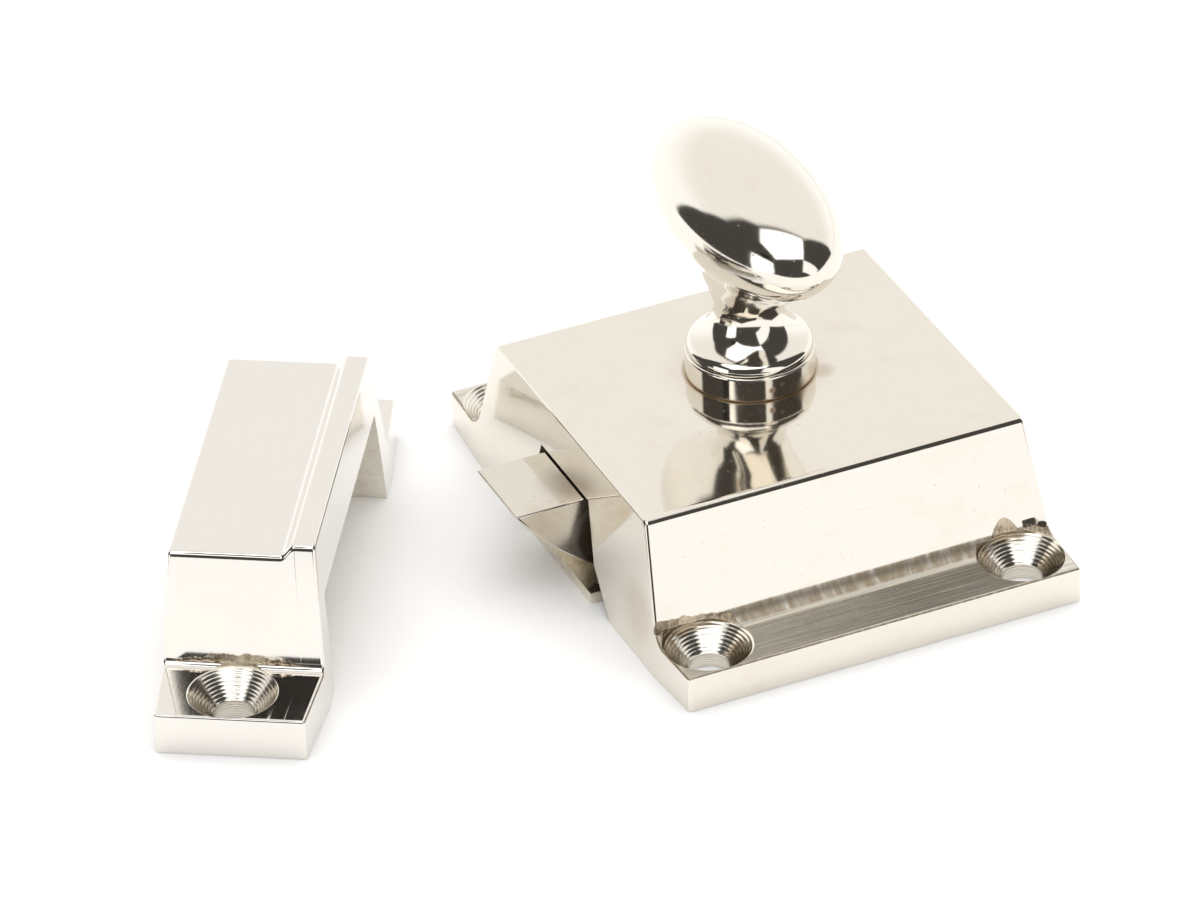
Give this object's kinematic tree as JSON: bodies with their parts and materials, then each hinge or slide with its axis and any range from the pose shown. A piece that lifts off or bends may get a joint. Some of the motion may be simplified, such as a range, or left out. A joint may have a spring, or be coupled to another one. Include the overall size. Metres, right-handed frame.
{
  "type": "cupboard latch",
  "caption": "Surface mounted cupboard latch with an oval turn knob, a sprung sliding bolt and a separate keeper to catch it.",
  "frame": {"origin": "centre of the case's four screw holes, on the back of the case", "axes": "+X from the bolt's nose to its tail, +Y along the case's long side, +Z out of the door along the knob's axis"},
  "size_m": [0.0948, 0.0686, 0.0423],
  "materials": {
    "nickel_plate": "polished nickel plate on cast brass",
    "brass": "plain turned",
    "steel": "bright zinc plate",
    "spring_steel": "plain drawn wire and strip"
  },
  "bodies": {
    "latch": {"case": "nickel_plate", "back_plate": "steel", "plate_screws": "steel", "collar_bush": "nickel_plate", "bolt_spring": "spring_steel", "keeper": "nickel_plate"},
    "knob": {"knob": "nickel_plate", "spindle": "steel", "thrust_washer": "brass", "cam": "steel", "retaining_clip": "spring_steel"},
    "bolt": {"bolt": "nickel_plate"}
  },
  "joints": [
    {"name": "knob_turn", "type": "hinge", "parent": "latch", "child": "knob", "pos_m": [0.0004, 0.0025, 0.02], "axis": [0, 0, 1], "range_deg": [0, 80]},
    {"name": "bolt_slide", "type": "slide", "parent": "latch", "child": "bolt", "axis": [1, 0, 0], "range_m": [0, 0.00767], "stiffness_N_per_m": 400, "springref_m": -0.008, "deforming": ["bolt_spring"]}
  ],
  "couplings": [
    {"joint": "knob_turn", "follows": "bolt_slide", "rad_per_m": 181.82}
  ]
}
